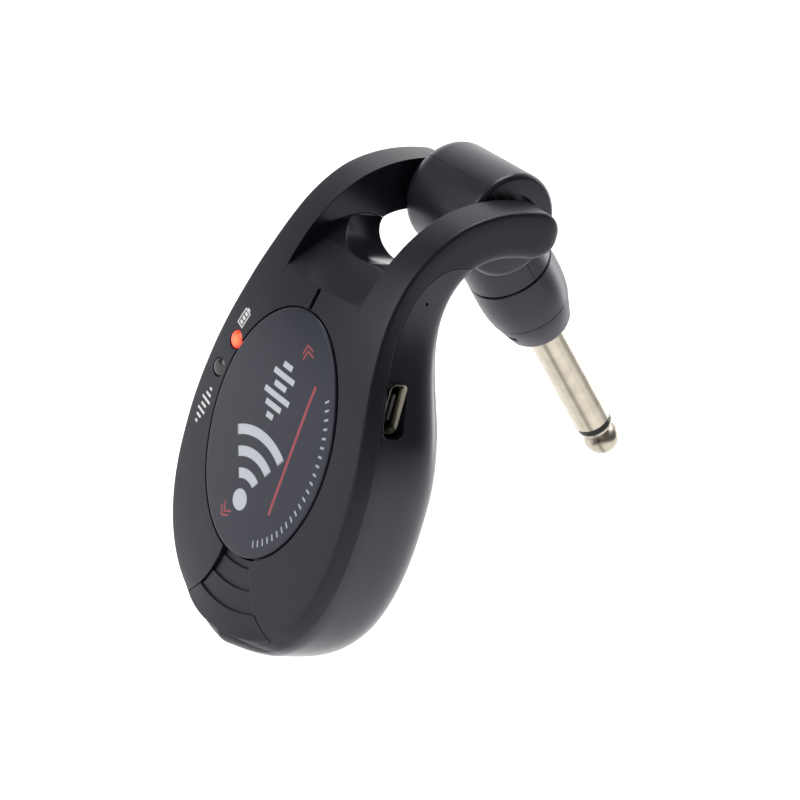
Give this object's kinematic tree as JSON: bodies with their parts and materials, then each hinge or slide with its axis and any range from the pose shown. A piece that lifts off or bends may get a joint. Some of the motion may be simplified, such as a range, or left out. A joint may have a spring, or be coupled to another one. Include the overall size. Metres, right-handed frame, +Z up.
{
  "type": "wireless guitar transmitter",
  "caption": "Teardrop wireless guitar transmitter with a forked top and a folding quarter-inch mono jack plug.",
  "frame": {"origin": "middle of the plug's shoulder face, where the bare sleeve leaves the collar", "axes": "+X to the right of the front face, +Y towards the back of the housing, +Z up along the housing, in the resting pose with the plug folded to 47 degrees from straight down"},
  "size_m": [0.0456, 0.0754, 0.0869],
  "materials": {
    "housing_plastic": "soft-touch charcoal",
    "slider_plastic": "soft-touch charcoal",
    "arm_plastic": "soft-touch charcoal",
    "badge": null,
    "lit_lens": "lit",
    "dark_lens": "unlit",
    "plug_metal": "polished nickel",
    "inner_metal": "plain",
    "dark_screw": "black oxide",
    "brass": "turned",
    "insulator": "black",
    "board": "green solder mask",
    "pale_plastic": "off-white",
    "cell": "pouch foil",
    "foam": "foam"
  },
  "bodies": {
    "arm": {"arm_outer_shell": "arm_plastic", "arm_inner_shell": "arm_plastic", "arm_screw": "dark_screw", "bush_left": "brass", "bush_right": "brass", "washer_left": "inner_metal", "washer_right": "inner_metal", "collar": "arm_plastic", "plug_sleeve": "plug_metal", "insulator_ring": "insulator", "plug_tip": "plug_metal", "tip_rod": "brass", "insulating_tube": "pale_plastic", "tip_lug": "inner_metal", "sleeve_lug": "inner_metal"},
    "housing": {"front_cover": "housing_plastic", "back_shell": "housing_plastic", "badge_plate": "badge", "power_lens": "lit_lens", "signal_lens": "dark_lens", "usb_shell": "inner_metal", "usb_tongue": "insulator", "circuit_board": "board", "shield_can": "inner_metal", "board_chips": "insulator", "chip_antenna": "pale_plastic", "lamp_chips": "pale_plastic", "slide_switch": "inner_metal", "battery": "cell", "battery_pad": "foam", "board_screws": "inner_metal", "housing_screws": "inner_metal", "hinge_pin_left": "inner_metal", "hinge_pin_right": "inner_metal"},
    "slider": {"thumb_slider": "slider_plastic", "switch_lever": "pale_plastic"}
  },
  "joints": [
    {"name": "housing_hinge", "type": "hinge", "parent": "arm", "child": "housing", "pos_m": [0, -0.02121, 0.01978], "axis": [1, 0, 0], "range_deg": [-133, 47]},
    {"name": "power_slide", "type": "slide", "parent": "housing", "child": "slider", "axis": [0, 0, -1], "range_m": [0, 0.002]}
  ]
}
